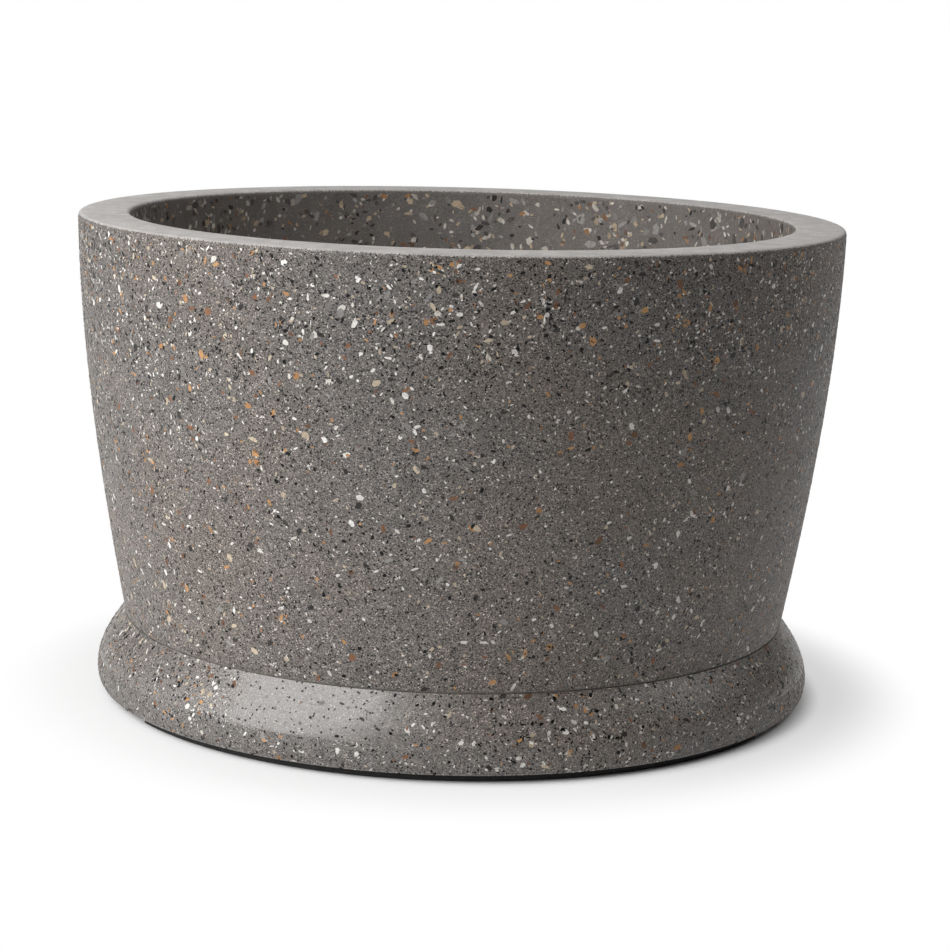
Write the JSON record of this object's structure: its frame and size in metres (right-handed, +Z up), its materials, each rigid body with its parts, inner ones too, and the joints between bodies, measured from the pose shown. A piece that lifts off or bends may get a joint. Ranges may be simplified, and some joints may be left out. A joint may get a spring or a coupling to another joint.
{
  "type": "concrete bowl planter",
  "caption": "Round cast concrete planter bowl with a bowed, tapering wall, a flared foot ring, rubber floor pads and a lift-out drain plug.",
  "frame": {"origin": "on the planter's vertical axis, at the surface that it stands on", "axes": "+Z up along the axis of the bowl, -Y towards the side that the picture shows in front"},
  "size_m": [0.5, 0.5, 0.3132],
  "materials": {
    "terrazzo_concrete": "smooth honed concrete, dark grey with fine salt-and-pepper sand and white, tan and black stone chips",
    "bonding_mortar": "fine pale mortar",
    "black_rubber": "matt moulded rubber",
    "grey_plastic": "matt moulded plastic"
  },
  "bodies": {
    "planter": {"bowl_shell": "terrazzo_concrete", "foot_ring": "terrazzo_concrete", "bond_ring": "bonding_mortar", "floor_pad_1": "black_rubber", "floor_pad_2": "black_rubber", "floor_pad_3": "black_rubber", "drain_sleeve": "grey_plastic"},
    "drain_plug": {"drain_plug": "black_rubber"}
  },
  "joints": [
    {"name": "plug_lift", "type": "slide", "parent": "planter", "child": "drain_plug", "axis": [0, 0, 1], "range_m": [0, 0.275]}
  ]
}
